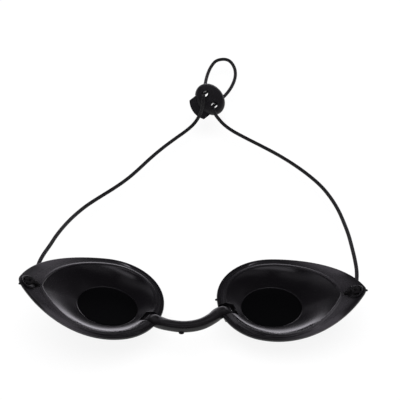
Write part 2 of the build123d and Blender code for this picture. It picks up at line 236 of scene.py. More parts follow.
@dataclass(frozen=True)
class Finish:
    """A plain finish, and what the others build on."""

    name: str
    slot: str
    colour: Colour
    roughness: float
    specular: float = 0.5
    metallic: float = 0.0

    def surface(self, board: Board) -> dict:
        """A value or Port for each of the shader's sockets that isn't plain, by name."""
        return {}

    def material(self) -> bpy.types.Material:
        """The finish as a material, made once.

        Returns:
            The material.
        """
        known = bpy.data.materials.get(self.name)
        if known:
            return known
        made = bpy.data.materials.new(self.name)
        made.use_nodes = True
        board = Board(made.node_tree)
        sockets = {
            "Base Color": (*self.colour, 1),
            "Roughness": self.roughness,
            "Specular IOR Level": self.specular,
            "Metallic": self.metallic,
        }
        sockets.update(self.surface(board))
        shader = board.node("ShaderNodeBsdfPrincipled", {}, sockets)
        board.raw("ShaderNodeOutputMaterial", {}, {"Surface": shader})
        return made


@dataclass(frozen=True)
class CupPlastic(Finish):
    """Moulded black plastic: polished in the bowl, matt out on the tips, and greyer there by a
    painted sheen that stands in for light falling on them.
    """

    # painted sheen: a lighter grey for the tips, standing in for light that falls on them
    tip_colour: Colour = (0.03, 0.0275, 0.032)
    bowl_roughness: float = 0.2
    bowl_coat: float = 0.9
    grain_scale: float = 1500.0
    grain_depth: float = 0.000008
    smudge_scale: float = 150.0
    smudge_share: float = 0.06

    def surface(self, board: Board) -> dict:
        """Roughness and grain that follow the bowl mask, and a painted sheen that greys the tips
        along the tip mask.
        """
        bowl = board.attribute("bowl")
        tip = board.attribute("tip")
        grain = board.noise(self.grain_scale) * (1 - bowl)
        smudge = board.noise(self.smudge_scale, detail=3.0)
        rough = self.roughness + bowl * (self.bowl_roughness - self.roughness)
        return {
            # painted sheen: greys the colour towards the tips, outside the bowl
            "Base Color": board.mix(tip * (1 - bowl), self.colour, self.tip_colour),
            "Roughness": rough + (smudge - 0.5) * self.smudge_share,
            "Coat Weight": bowl * self.bowl_coat,
            "Coat Roughness": self.bowl_roughness,
            "Normal": board.bump(grain, self.grain_depth),
        }


@dataclass(frozen=True)
class GrainedPlastic(Finish):
    """Matt plastic or rubber with a fine even grain."""

    grain_scale: float = 1500.0
    grain_depth: float = 0.00001
    patch_scale: float = 320.0
    patch_share: float = 0.12

    def surface(self, board: Board) -> dict:
        """A fine grain, and a slight unevenness of its gloss."""
        grain = board.noise(self.grain_scale)
        patch = board.noise(self.patch_scale, detail=3.0)
        return {
            "Roughness": self.roughness + (patch - 0.5) * self.patch_share,
            "Normal": board.bump(grain, self.grain_depth),
        }


@dataclass(frozen=True)
class Braid(Finish):
    """Round elastic braid: two sets of strands that cross on the diagonal, with painted shade in
    the valleys between them.
    """

    strands: int = 8
    turn_length: float = 0.0062
    relief: float = 0.00016
    # painted shade: the darker colour of the valleys between the strands
    valley: Colour = (0.0025, 0.0023, 0.003)

    def surface(self, board: Board) -> dict:
        """Strands along both diagonals of the cord's own UV map, with painted shade in the valleys
        between them.
        """
        place = board.node("ShaderNodeUVMap", {"uv_map": "UVMap"}, {})
        split = board.raw("ShaderNodeSeparateXYZ", {}, {0: place})
        around, along = Port(board, split.outputs[0]), Port(board, split.outputs[1])
        waves = tau * self.strands / 2
        turns, run = around * waves, along * (waves / self.turn_length)
        weave = (turns + run).sine().larger((turns - run).sine()) * 0.5 + 0.5
        return {
            # painted shade: the weave darkens the valleys towards the valley colour
            "Base Color": board.mix(weave, self.valley, self.colour),
            "Normal": board.bump(weave, self.relief),
        }


CUP_PLASTIC = CupPlastic("cup_plastic", "cup", (0.0035, 0.0031, 0.0039), 0.3, 0.4)
LENS_FILTER = Finish("lens_filter", "lens", (0.0012, 0.0012, 0.0014), 0.3, 0.03)
BRIDGE_RUBBER = GrainedPlastic("bridge_rubber", "bridge", (0.005, 0.0045, 0.0052), 0.3, 0.35)
CORD_BRAID = Braid("cord_braid", "cord", (0.0065, 0.0059, 0.007), 0.7, 0.3)
# painted shade: a darker copy of the cord's braid, for the knot in the shade of its pocket
SHADED_KNOT_BRAID = Braid("knot_braid", "cord", (0.005, 0.0045, 0.0052), 0.8, 0.3)
LOCK_PLASTIC = GrainedPlastic("lock_plastic", "lock", (0.007, 0.0064, 0.0078), 0.5, 0.2)
SPRING_STEEL = Finish("spring_steel", "spring", (0.5, 0.5, 0.51), 0.3, metallic=1.0)


# Meshes


def clamp(value: float) -> float:
    """A value held between 0 and 1."""
    return min(max(value, 0.0), 1.0)


def eased(value: float, start: float, end: float) -> float:
    """How far a value is from a start to an end, from 0 to 1 and softly at both."""
    share = clamp((value - start) / (end - start))
    return share * share * (3 - 2 * share)


def placed(name: str, data: bpy.types.ID) -> Piece:
    """Put a mesh, a lamp or the like into the scene as an object."""
    made = bpy.data.objects.new(name, data)
    bpy.context.collection.objects.link(made)
    return made


def mesh_of(bm: Shape, name: str) -> bpy.types.Mesh:
    """Turn a shape into a mesh, and free it."""
    mesh = bpy.data.meshes.new(name)
    bm.to_mesh(mesh)
    bm.free()
    return mesh


def result_of(made: Piece) -> bpy.types.Mesh:
    """The mesh that an object's curve or modifiers make."""
    graph = bpy.context.evaluated_depsgraph_get()
    return bpy.data.meshes.new_from_object(made.evaluated_get(graph))


def move(bm: Shape, place: Place) -> None:
    """Move a shape by a place."""
    bmesh.ops.translate(bm, vec=place, verts=bm.verts)


def rotate(bm: Shape, angle: float, axis: str) -> None:
    """Turn a shape about an axis through the origin, by an angle in radians."""
    bmesh.ops.rotate(bm, cent=(0, 0, 0), matrix=Matrix.Rotation(angle, 3, axis), verts=bm.verts)


def block(size: Place, bevel: float, segments: int, along: int | None = None) -> Shape:
    """A box round the origin with rounded edges.

    Args:
        size: Its size on each axis.
        bevel: How far the rounding reaches from each edge.
        segments: How many faces the rounding has.
        along: The axis whose edges alone are rounded, or none for all edges.

    Returns:
        The box.
    """
    bm = bmesh.new()
    bmesh.ops.create_cube(bm, size=1.0)
    bmesh.ops.scale(bm, vec=size, verts=bm.verts)
    edges = bm.edges[:]
    if along is not None:
        ends = [(edge, [vert.co[along] for vert in edge.verts]) for edge in edges]
        edges = [edge for edge, (a, b) in ends if abs(a - b) > size[along] / 2]
    bmesh.ops.bevel(
        bm, geom=edges, offset=bevel, offset_type="OFFSET", segments=segments,
        profile=0.5, affect="EDGES", material=-1,
    )
    return bm


def rod(radii: Pair, height: float, segments: int) -> Shape:
    """An upright rod round the origin, with a radius for its foot and one for its top."""
    bm = bmesh.new()
    bmesh.ops.create_cone(
        bm, cap_ends=True, segments=segments, radius1=radii[0], radius2=radii[1], depth=height
    )
    return bm


def ball(radius: float, stretch: Place, segments: int) -> Shape:
    """A ball round the origin, stretched on each axis."""
    bm = bmesh.new()
    rows = segments // 2 + 2
    bmesh.ops.create_uvsphere(bm, u_segments=segments, v_segments=rows, radius=radius)
    bmesh.ops.scale(bm, vec=stretch, verts=bm.verts)
    return bm


def oval(middle: float, radii: Pair, height: float, segments: int) -> Ring:
    """A level oval ring, whose middle is somewhere on X."""
    turns = [tau * index / segments for index in range(segments)]
    return [Vector((middle + radii[0] * cos(t), radii[1] * sin(t), height)) for t in turns]


def skin_of_rings(
    rings: list[Ring],
    closed: bool = False,
    masks: list[float] | None = None,
    climbs: list[float] | None = None,
) -> Shape:
    """Extrude a loop of points from ring to ring.

    Args:
        rings: The places of the loop's points at each step.
        closed: Whether the last ring joins the first, or both ends are capped.
        masks: The bowl mask at each step.
        climbs: How far up the bowl each step is, from 0 to 1.

    Returns:
        The skin, with its normals outwards.
    """
    bm = bmesh.new()
    masks = masks or [0.0] * len(rings)
    climbs = climbs or [0.0] * len(rings)
    bmesh.ops.create_circle(bm, cap_ends=False, segments=len(rings[0]), radius=1.0)
    station = bm.verts.layers.int.new("station")
    mask = bm.verts.layers.float.new("bowl")
    height = bm.verts.layers.float.new("climb")
    bm.verts.ensure_lookup_table()
    for index, vert in enumerate(bm.verts):
        vert[station] = index
        vert[mask] = masks[0]
        vert.co = rings[0][index]
    first = loop = bm.edges[:]
    for ring, value, climb in zip(rings[1:], masks[1:], climbs[1:]):
        made = bmesh.ops.extrude_edge_only(bm, edges=loop)["geom"]
        fresh = {item for item in made if isinstance(item, bmesh.types.BMVert)}
        for vert in fresh:
            vert.co = ring[vert[station]]
            vert[mask] = value
            vert[height] = climb
        loop = [edge for vert in fresh for edge in vert.link_edges]
        loop = list({edge for edge in loop if all(end in fresh for end in edge.verts)})
    if closed:
        bmesh.ops.bridge_loops(bm, edges=first + loop)
    else:
        bmesh.ops.edgeloop_fill(bm, edges=first)
        bmesh.ops.edgeloop_fill(bm, edges=loop)
    bmesh.ops.recalc_face_normals(bm, faces=bm.faces)
    return bm


def object_of(bm: Shape, name: str, finish: Finish) -> Piece:
    """Turn a shape into a piece with a finish.

    Args:
        bm: The shape, which is freed.
        name: The piece's name.
        finish: Its finish.

    Returns:
        The piece.
    """
    mesh = mesh_of(bm, name)
    mesh.materials.append(finish.material())
    piece = placed(name, mesh)
    return piece


def shade(piece: Piece, angle: float = 35.0) -> None:
    """Shade a piece smooth, but for its sharp edges.

    Args:
        piece: The piece.
        angle: From how many degrees an edge counts as sharp.
    """
    piece.data.shade_smooth()
    bm = bmesh.new()
    bm.from_mesh(piece.data)
    for edge in bm.edges:
        edge.smooth = edge.calc_face_angle(pi) < radians(angle)
    bm.to_mesh(piece.data)
    bm.free()


def carve(piece: Piece, cutter: Shape) -> None:
    """Cut one closed shape, which is freed, out of a piece for good."""
    tool = placed("cutter", mesh_of(cutter, "cutter"))
    cut = piece.modifiers.new("cut", "BOOLEAN")
    cut.operation = "DIFFERENCE"
    cut.solver = "EXACT"
    cut.object = tool
    carved = result_of(piece)
    piece.modifiers.clear()
    spent = (piece.data, tool.data)
    piece.data = carved
    bpy.data.objects.remove(tool)
    for mesh in spent:
        bpy.data.meshes.remove(mesh)


def absorb(bm: Shape, extra: Shape) -> None:
    """Move another shape's geometry into one, and free it."""
    mesh = mesh_of(extra, "extra")
    bm.from_mesh(mesh)
    bpy.data.meshes.remove(mesh)


def frame_along(path: list[Vector]) -> list[Matrix]:
    """A frame at each point of a path that turns as little as it can.

    Args:
        path: The points.

    Returns:
        One matrix a point, with Z along the path.
    """
    frames: list[Matrix] = []
    side = Vector((0, 0, 1)).cross(path[1] - path[0])
    if side.length < MM * MM:
        side = Vector((1, 0, 0))
    for index, point in enumerate(path):
        before, after = path[max(index - 1, 0)], path[min(index + 1, len(path) - 1)]
        ahead = (after - before).normalized()
        side = (side - ahead * side.dot(ahead)).normalized()
        up = ahead.cross(side)
        turn = Matrix((side, up, ahead)).transposed().to_4x4()
        frames.append(Matrix.Translation(point) @ turn)
    return frames


def smooth_path(points: Route, steps: int) -> list[Vector]:
    """Points along the smooth line that a route's points pull.

    Args:
        points: The route's points, in millimetres.
        steps: How many points each stretch of the line gets.

    Returns:
        The points, in metres.
    """
    curve = bpy.data.curves.new("route", "CURVE")
    curve.dimensions = "3D"
    curve.resolution_u = steps
    spline = curve.splines.new("NURBS")
    spline.points.add(len(points) - 1)
    for knot, place in zip(spline.points, points):
        knot.co = (*(value * MM for value in place), 1)
    spline.order_u = 3
    spline.use_endpoint_u = True
    holder = placed("route", curve)
    line = result_of(holder)
    path = [vert.co.copy() for vert in line.vertices]
    bpy.data.objects.remove(holder)
    bpy.data.curves.remove(curve)
    bpy.data.meshes.remove(line)
    return path


def travel_along(path: list[Vector]) -> list[float]:
    """How far along a path each of its points is."""
    steps = ((b - a).length for a, b in zip(path, path[1:]))
    return list(accumulate(steps, initial=0.0))


def tube(path: list[Vector], radius: float, segments: int) -> Shape:
    """A round tube along a path, with a UV map of turns and metres.

    Args:
        path: The middle line.
        radius: The tube's radius.
        segments: How many sides it has.

    Returns:
        The tube, capped at both ends.
    """
    circle = oval(0.0, (radius, radius), 0.0, segments)
    bm = skin_of_rings([[frame @ point for point in circle] for frame in frame_along(path)])
    station = bm.verts.layers.int["station"]
    travel = travel_along(path)
    bm.verts.ensure_lookup_table()
    uv = bm.loops.layers.uv.new("UVMap")
    for face in bm.faces:
        turns = [loop.vert[station] for loop in face.loops]
        wraps = len(turns) == 4 and max(turns) - min(turns) > segments / 2
        for loop, turn in zip(face.loops, turns):
            around = turn + segments if wraps and turn < segments / 2 else turn
            row = min(loop.vert.index // segments, len(travel) - 1)
            loop[uv].uv = (around / segments, travel[row])
    return bm


# Eye cups


@dataclass(frozen=True)
class Leaf:
    """An outline of tangent arcs: a round nose, two long sides and a small tip."""

    nose_radius: float
    nose_centre: float
    side_radius: float
    tip_radius: float
    tip_centre: float
    nose_steps: int = 44
    side_steps: int = 40
    tip_steps: int = 12

    @property
    def reach(self) -> float:
        """How far the tip is from the lens middle."""
        return self.tip_centre + self.tip_radius

    def grown(self, outset: float) -> Leaf:
        """The outline let out on all sides by an outset."""
        return replace(
            self,
            nose_radius=self.nose_radius + outset,
            side_radius=self.side_radius + outset,
            tip_radius=self.tip_radius + outset,
        )

    def outline(self) -> Outline:
        """The outline's points, from the nose end over the cheek side.

        Returns:
            The points, in millimetres.
        """
        span = self.tip_centre - self.nose_centre
        near = self.side_radius - self.nose_radius
        far = self.side_radius - self.tip_radius
        along = (near**2 - far**2 + span**2) / (2 * span)
        side_u, side_v = self.nose_centre + along, -sqrt(near**2 - along**2)
        nose_turn = atan2(-side_v, self.nose_centre - side_u)
        tip_turn = atan2(-side_v, self.tip_centre - side_u)
        arcs = (
            (self.nose_centre, 0.0, self.nose_radius, pi, nose_turn, self.nose_steps),
            (side_u, side_v, self.side_radius, nose_turn, tip_turn, self.side_steps),
            (self.tip_centre, 0.0, self.tip_radius, tip_turn, 0.0, self.tip_steps),
        )
        half: Outline = []
        for centre_u, centre_v, radius, start, end, steps in arcs:
            for index in range(steps):
                turn = start + (end - start) * index / steps
                half.append((centre_u + radius * cos(turn), centre_v + radius * sin(turn)))
        return half + [(self.reach, 0.0)] + [(u, -v) for u, v in reversed(half[1:])]


@dataclass
class EyeCup:
    """One eye cup: a collar round the lens, a glossy bowl and a matt brim.

    In the cup's own frame the lens middle is at the origin, U runs to the tip, V to the cheek
    side, away from the viewer, and W up. The crest's profile pairs an outset with a share of the
    bead's height, a groove's an offset with a share of its depth, and the collar's edge an inset
    with a height.
    """

    side: Side
    x: float
    y: float
    yaw: float
    lean: float
    notch_angle: float
    nubs: tuple[float, ...]
    rim: Leaf = Leaf(24.2, 0.4, 41.4, 4.1, 35.8)
    crest: Leaf = Leaf(19.9, -0.3, 29.5, 5.0, 24.6)
    rim_height: float = 7.2
    tip_rise: float = 8.1
    nose_rise: float = 1.0
    cheek_rise: float = 2.4
    brim_thickness: float = 1.5
    brim_round: float = 0.4
    brim_steps: int = 6
    step_height: float = 0.1
    crest_height: float = 0.34
    crest_profile: Pairs = (
        (1.1, 0.0), (0.9, 0.14), (0.6, 0.45), (0.3, 0.82), (0.1, 0.98), (-0.05, 1.0),
        (-0.18, 0.9), (-0.29, 0.68), (-0.38, 0.38),
    )
    near_fullness: Pair = (0.03, 0.13)
    fullness_reach: Pair = (-14.0, 22.0)
    groove_insets: Pair = (0.8, 1.4)
    groove_profile: Pairs = ((-0.18, 0.0), (-0.05, 1.0), (0.05, 1.0), (0.18, 0.0))
    groove_depth: float = 0.16
    groove_reach: Pair = (-4.0, -16.0)
    aperture_radius: float = 13.1
    mouth_ledge: float = 0.3
    mouth_drop: float = 0.05
    floor_height: float = 2.1
    collar_radius: float = 15.5
    collar_height: float = 1.6
    collar_edge: Pairs = ((0.35, 0.0), (0.1, 0.1), (0.0, 0.35))
    body_inset: float = 3.2
    body_steps: int = 6
    body_curve: float = 1.15
    bowl_inset: float = 0.45
    bowl_swell: float = 0.4
    bowl_steps: int = 18
    crest_slope: float = 20.0
    aside_slope: float = 42.0
    lens_slope: float = 3.0
    slope_cap: float = 26.0
    near_curve: float = 1.3
    aside_curve: float = 2.5
    near_gain: float = 2.2
    far_gain: float = 1.6
    least_tilt: float = 0.02
    flange_radius: float = 14.05
    flange_low: float = 0.5
    flange_high: float = 1.5
    lip_radius: float = 13.5
    pocket_radius: float = 3.5
    pocket_flare: float = 0.3
    pocket_u: float = 35.1
    pocket_depth: float = 1.0
    pocket_cut: float = 6.0
    pocket_rim: float = 0.75
    pocket_rim_gap: float = 0.05
    pocket_rim_turn: float = 230.0
    hole_radius: float = 1.2
    hole_u: float = 31.4
    hole_cut: float = 30.0
    socket_reach: Pair = (18.6, 22.7)
    socket_heights: Pair = (3.0, 5.9)
    socket_width: float = 8.2
    socket_round: float = 0.35
    bridge_width: float = 5.4
    bridge_height: float = 4.4
    bridge_axis_height: float = 5.6
    notch_clearance: float = 0.4
    notch_reach: Pair = (16.5, 26.7)
    notch_round: float = 1.2
    nub_radius: float = 0.6
    nub_stretch: Place = (1.3, 0.8, 0.9)
    full_mask: float = 0.99
    crest_mask: float = 0.6
    # where the painted sheen on the tips starts, grows full, fades and ends, along U
    tip_mask: tuple[float, ...] = (2.0, 24.0, 27.5, 32.5)

    def place(self) -> Matrix:
        """The cup's own frame, in millimetres, as it lies in the goggles' frame, in metres."""
        sign = self.side.value
        lift = self.collar_radius * sin(radians(self.lean))
        spot = Matrix.Translation(Vector((self.x, self.y, lift)) * MM)
        turn = Matrix.Rotation(radians(-sign * self.yaw), 4, "Z")
        lean = Matrix.Rotation(radians(-sign * self.lean), 4, "Y")
        flip = Matrix.Diagonal((sign * MM, MM, MM, 1))
        return spot @ turn @ lean @ flip

    def point(self, u: float, v: float, w: float) -> Vector:
        """A place in the cup's own frame, in millimetres, as a point in metres."""
        return self.place() @ Vector((u, v, w))

    def notch_point(self, reach: float, height: float) -> Vector:
        """A point over the notch's middle line, at a reach from the lens middle."""
        turn = radians(self.notch_angle)
        return self.point(-reach * cos(turn), -reach * sin(turn), height)

    def bend(self, u: float, v: float) -> float:
        """How far the rim is lifted at a place, to follow the face."""
        if u > 0:
            lift = self.tip_rise * (u / self.rim.reach) ** 2
        else:
            lift = self.nose_rise * (u / (self.rim.nose_radius - self.rim.nose_centre)) ** 2
        return lift + self.cheek_rise * v / self.rim.nose_radius

    def land_height(self, u: float) -> float:
        """Height of the land beside the tip, on the cup's middle line."""
        return self.rim_height + self.step_height + self.bend(u, 0)

    def _round(self, leaf: Leaf, radius: float, height: float) -> Ring:
        """A level circle at the polar angles of a leaf's points."""
        return [
            Vector((radius * u / hypot(u, v), radius * v / hypot(u, v), height))
            for u, v in leaf.outline()
        ]

    def _bent(self, leaf: Leaf, height: float) -> Ring:
        """A leaf that follows the bend of the rim."""
        return [Vector((u, v, height + self.bend(u, v))) for u, v in leaf.outline()]

    def _fuller(self, leaf: Leaf, height: float) -> Ring:
        """A bent leaf that is let out on its near side, more so towards the tip."""
        nose, tip = self.near_fullness
        ring = self._bent(leaf, height)
        for spot, (u, v) in zip(ring, leaf.outline()):
            if v < 0:
                spot.y = v * (1 + nose + (tip - nose) * eased(u, *self.fullness_reach))
        return ring

    def _grooved(self, inset: float, depth: float) -> Ring:
        """A ring of the brim that sinks into a groove round the nose end."""
        ring = self._bent(self.rim.grown(-inset), self.rim_height)
        for spot in ring:
            spot.z -= depth * eased(spot.x, *self.groove_reach)
        return ring

    def _between(self, low: Ring, high: Ring, share: float, rise: float) -> Ring:
        """A ring part of the way between two, by a share sideways and a rise upwards."""
        ring = []
        for a, b in zip(low, high):
            x, y, z = b - a
            ring.append(Vector((a.x + x * share, a.y + y * share, a.z + z * rise)))
        return ring

    def _outside(self) -> list[Ring]:
        """Rings from under the lens up the collar and the body to below the brim."""
        rings = [self._round(self.rim, self.lip_radius, 0.0)]
        for inset, rise in self.collar_edge:
            rings.append(self._round(self.rim, self.collar_radius - inset, rise))
        low = self._round(self.rim, self.collar_radius, self.collar_height)
        high = self._bent(self.rim.grown(-self.body_inset), self.rim_height - self.brim_thickness)
        for index in range(self.body_steps + 1):
            share = index / self.body_steps
            rings.append(self._between(low, high, share, share**self.body_curve))
        return rings

    def _brim(self) -> list[Ring]:
        """Rings round the brim's edge, and over the fine grooves beside it."""
        top, half, edge = self.rim_height, self.brim_thickness / 2, self.brim_round
        rings = [self._bent(self.rim.grown(-edge * 2), top - 2 * half)]
        for index in range(self.brim_steps + 1):
            turn = radians(-90 + 180 / self.brim_steps * index)
            inset = edge * (1 - cos(turn))
            rings.append(self._bent(self.rim.grown(-inset), top - half + half * sin(turn)))
        for groove in self.groove_insets:
            for offset, depth in self.groove_profile:
                rings.append(self._grooved(groove + offset, depth * self.groove_depth))
        return rings

    def _crest(self) -> list[Ring]:
        """Rings over the low rounded crest, down to where the bowl begins."""
        foot = self.rim_height + self.step_height
        bead = self.crest_height - self.step_height
        return [
            self._fuller(self.crest.grown(outset), foot + rise * bead)
            for outset, rise in self.crest_profile
        ]

    def _climbs(self) -> list[float]:
        """How far up the bowl each of its rings is, from 1 to 0."""
        return [1 - index / self.bowl_steps for index in range(self.bowl_steps + 1)]

    def _bowl(self) -> list[Ring]:
        """Rings down the bowl's curved wall to the lens opening."""
        low = self._round(self.crest, self.aperture_radius + self.mouth_ledge, self.floor_height)
        edge = self.crest.grown(-self.bowl_inset)
        high = self._fuller(edge, self.rim_height + self.step_height)
        return [
            self._between(low, high, climb, climb * (1 + self.bowl_swell * (1 - climb)))
            for climb in self._climbs()
        ]

    def _seat(self) -> list[Ring]:
        """Rings down the lens opening and its groove to the front lip."""
        profile = (
            (self.aperture_radius, self.floor_height - self.mouth_drop),
            (self.aperture_radius, self.flange_high),
            (self.flange_radius, self.flange_high),
            (self.flange_radius, self.flange_low),
            (self.lip_radius, self.flange_low),
        )
        return [self._round(self.rim, radius, height) for radius, height in profile]

    def _over_notch(self, width: float, reach: Pair, heights: Pair, **rounding: float) -> Shape:
        """A rounded block over the notch's middle line, in the cup's frame.

        Args:
            width: How wide it is across the line.
            reach: From where to where it goes along the line.
            heights: From where to where it goes upwards.
            rounding: How its edges are rounded, as for a plain block.

        Returns:
            The block.
        """
        bm = block((reach[1] - reach[0], width, heights[1] - heights[0]), **rounding)
        move(bm, (sum(reach) / 2, 0, sum(heights) / 2))
        rotate(bm, pi + radians(self.notch_angle), "Z")
        return bm

    def _socket(self) -> Shape:
        """The block under the brim that carries the bridge, in the cup's frame."""
        reach, heights = self.socket_reach, self.socket_heights
        return self._over_notch(
            self.socket_width, reach, heights, bevel=self.socket_round, segments=3
        )

    def _notch(self) -> Shape:
        """The gap through crest and brim that the bridge lies in, in the cup's frame."""
        bottom = self.bridge_axis_height - self.bridge_height / 2 - self.notch_clearance
        heights = (bottom, bottom + 2 * self.rim_height)
        width = self.bridge_width + 2 * self.notch_clearance
        return self._over_notch(
            width, self.notch_reach, heights, bevel=self.notch_round, segments=6, along=0
        )

    def _settle(self, bm: Shape, drop: float) -> Shape:
        """Lean a shape with the land beside the tip, and set it there, a drop below it."""
        slope = 2 * self.tip_rise * self.pocket_u / self.rim.reach**2
        rotate(bm, -atan2(slope, 1), "Y")
        move(bm, (self.pocket_u, 0, self.land_height(self.pocket_u) - drop))
        return bm

    def _pocket_rim(self) -> Shape:
        """The raised half ring round the tip side of the pocket, in the cup's frame."""
        bm = bmesh.new()
        bmesh.ops.create_circle(bm, cap_ends=False, segments=12, radius=self.pocket_rim / 2)
        rotate(bm, pi / 2, "X")
        move(bm, (self.pocket_radius + self.pocket_rim_gap, 0, 0))
        rotate(bm, radians(-self.pocket_rim_turn / 2), "Z")
        bmesh.ops.spin(
            bm, geom=bm.verts[:] + bm.edges[:], cent=(0, 0, 0), axis=(0, 0, 1),
            dvec=(0, 0, 0), angle=radians(self.pocket_rim_turn), steps=32, use_duplicate=False,
        )
        bmesh.ops.holes_fill(bm, edges=bm.edges[:], sides=0)
        return self._settle(bm, 0.0)

    def _pocket(self) -> Shape:
        """The dish at the tip that the knot lies in, in the cup's frame."""
        radii = (self.pocket_radius - self.pocket_flare, self.pocket_radius + self.pocket_flare)
        bm = rod(radii, self.pocket_cut, segments=48)
        move(bm, (0, 0, self.pocket_cut / 2))
        return self._settle(bm, self.pocket_depth)

    def _hole(self) -> Shape:
        """The cord hole beside the tip pocket, in the cup's frame."""
        bm = rod((self.hole_radius, self.hole_radius), self.hole_cut, segments=32)
        move(bm, (self.hole_u, 0, self.hole_cut / 2))
        return bm

    def _nub(self, turn: float) -> Shape:
        """A trimmed gate mark on the rim's edge.

        Args:
            turn: Where it is, in degrees round the tip, or about 180 for the nose end.

        Returns:
            The mark, in the cup's frame.
        """
        radius, centre = self.rim.tip_radius, self.rim.tip_centre
        if abs(turn) > 90:
            radius, centre = self.rim.nose_radius, self.rim.nose_centre
        u, v = centre + radius * cos(radians(turn)), radius * sin(radians(turn))
        bm = ball(self.nub_radius, self.nub_stretch, segments=16)
        rotate(bm, radians(turn), "Z")
        move(bm, (u, v, self.rim_height - self.brim_thickness / 2 + self.bend(u, v)))
        return bm

    def _slope(self, slope: float, climb: float, facing: float) -> float:
        """The slope that a place in the bowl is shaded with.

        Args:
            slope: The wall's own slope.
            climb: How far up the wall it is.
            facing: How far it faces the far side, from -1 to 1.

        Returns:
            A slope that eases towards the lens on the near side, and that is capped elsewhere.
        """
        aside = 1 - max(facing, 0.0)
        crest = self.crest_slope + self.aside_slope * aside
        curve = self.near_curve + self.aside_curve * aside
        dish = self.lens_slope + (crest - self.lens_slope) * climb**curve
        capped = self.slope_cap * tanh(slope / self.slope_cap)
        near = clamp(facing * self.near_gain)
        far = clamp(-facing * self.far_gain)
        return dish * near + capped * (1 - near - far) + slope * far

    def _dish(self, piece: Piece) -> None:
        """Ease the shading of the bowl into that of a shallow dish."""
        mesh = piece.data
        climb = mesh.attributes["climb"].data
        bowl = mesh.attributes["bowl"].data
        up = Vector((0, 0, 1))
        normals = [corner.vector.copy() for corner in mesh.corner_normals]
        for face in mesh.polygons:
            inside = all(bowl[v].value > self.full_mask for v in face.vertices)
            if not inside or max(climb[v].value for v in face.vertices) <= 0.0:
                continue
            for loop in face.loop_indices:
                height = climb[mesh.loops[loop].vertex_index].value
                normal = normals[loop]
                level = normal - up * normal.dot(up)
                if level.length < self.least_tilt:
                    continue
                out = level.normalized()
                own = degrees(atan2(level.length, normal.dot(up)))
                slope = radians(self._slope(own, height, out.y))
                normals[loop] = up * cos(slope) + out * sin(slope)
        mesh.normals_split_custom_set(normals)

    def _mark_tip(self, piece: Piece) -> None:
        """Mark the matt stretch between the bowl and the knot's pocket, from 0 to 1, for the
        painted sheen that greys it.
        """
        start, full, fade, end = self.tip_mask
        back = self.place().inverted()
        layer = piece.data.attributes.new("tip", "FLOAT", "POINT")
        for vert, mark in zip(piece.data.vertices, layer.data):
            u = (back @ vert.co).x
            mark.value = eased(u, start, full) * eased(u, end, fade)

    def build(self) -> Piece:
        """Build the cup and put it in its node's place.

        Returns:
            The cup.
        """
        matt = self._outside() + self._brim()
        crest, bowl, seat = self._crest(), self._bowl(), self._seat()
        masks = [0.0] * len(matt) + [self.crest_mask] * len(crest)
        climbs = [0.0] * len(masks) + self._climbs() + [0.0] * len(seat)
        masks += [1.0] * len(bowl + seat)
        skin = skin_of_rings(matt + crest + bowl + seat, closed=True, masks=masks, climbs=climbs)
        piece = object_of(skin, f"{self.side.word}_cup_shell", CUP_PLASTIC)
        for cutter in (self._notch(), self._pocket(), self._hole()):
            carve(piece, cutter)
        bm = bmesh.new()
        bm.from_mesh(piece.data)
        for extra in (self._socket(), self._pocket_rim(), *map(self._nub, self.nubs)):
            absorb(bm, extra)
        bmesh.ops.transform(bm, matrix=self.place(), verts=bm.verts)
        bmesh.ops.recalc_face_normals(bm, faces=bm.faces)
        bm.to_mesh(piece.data)
        bm.free()
        self._mark_tip(piece)
        shade(piece)
        self._dish(piece)
        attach(piece, f"{self.side.word}_cup")
        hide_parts(f"{self.side.word}_eye_cup")
        return piece


# Cord, knots and bridge


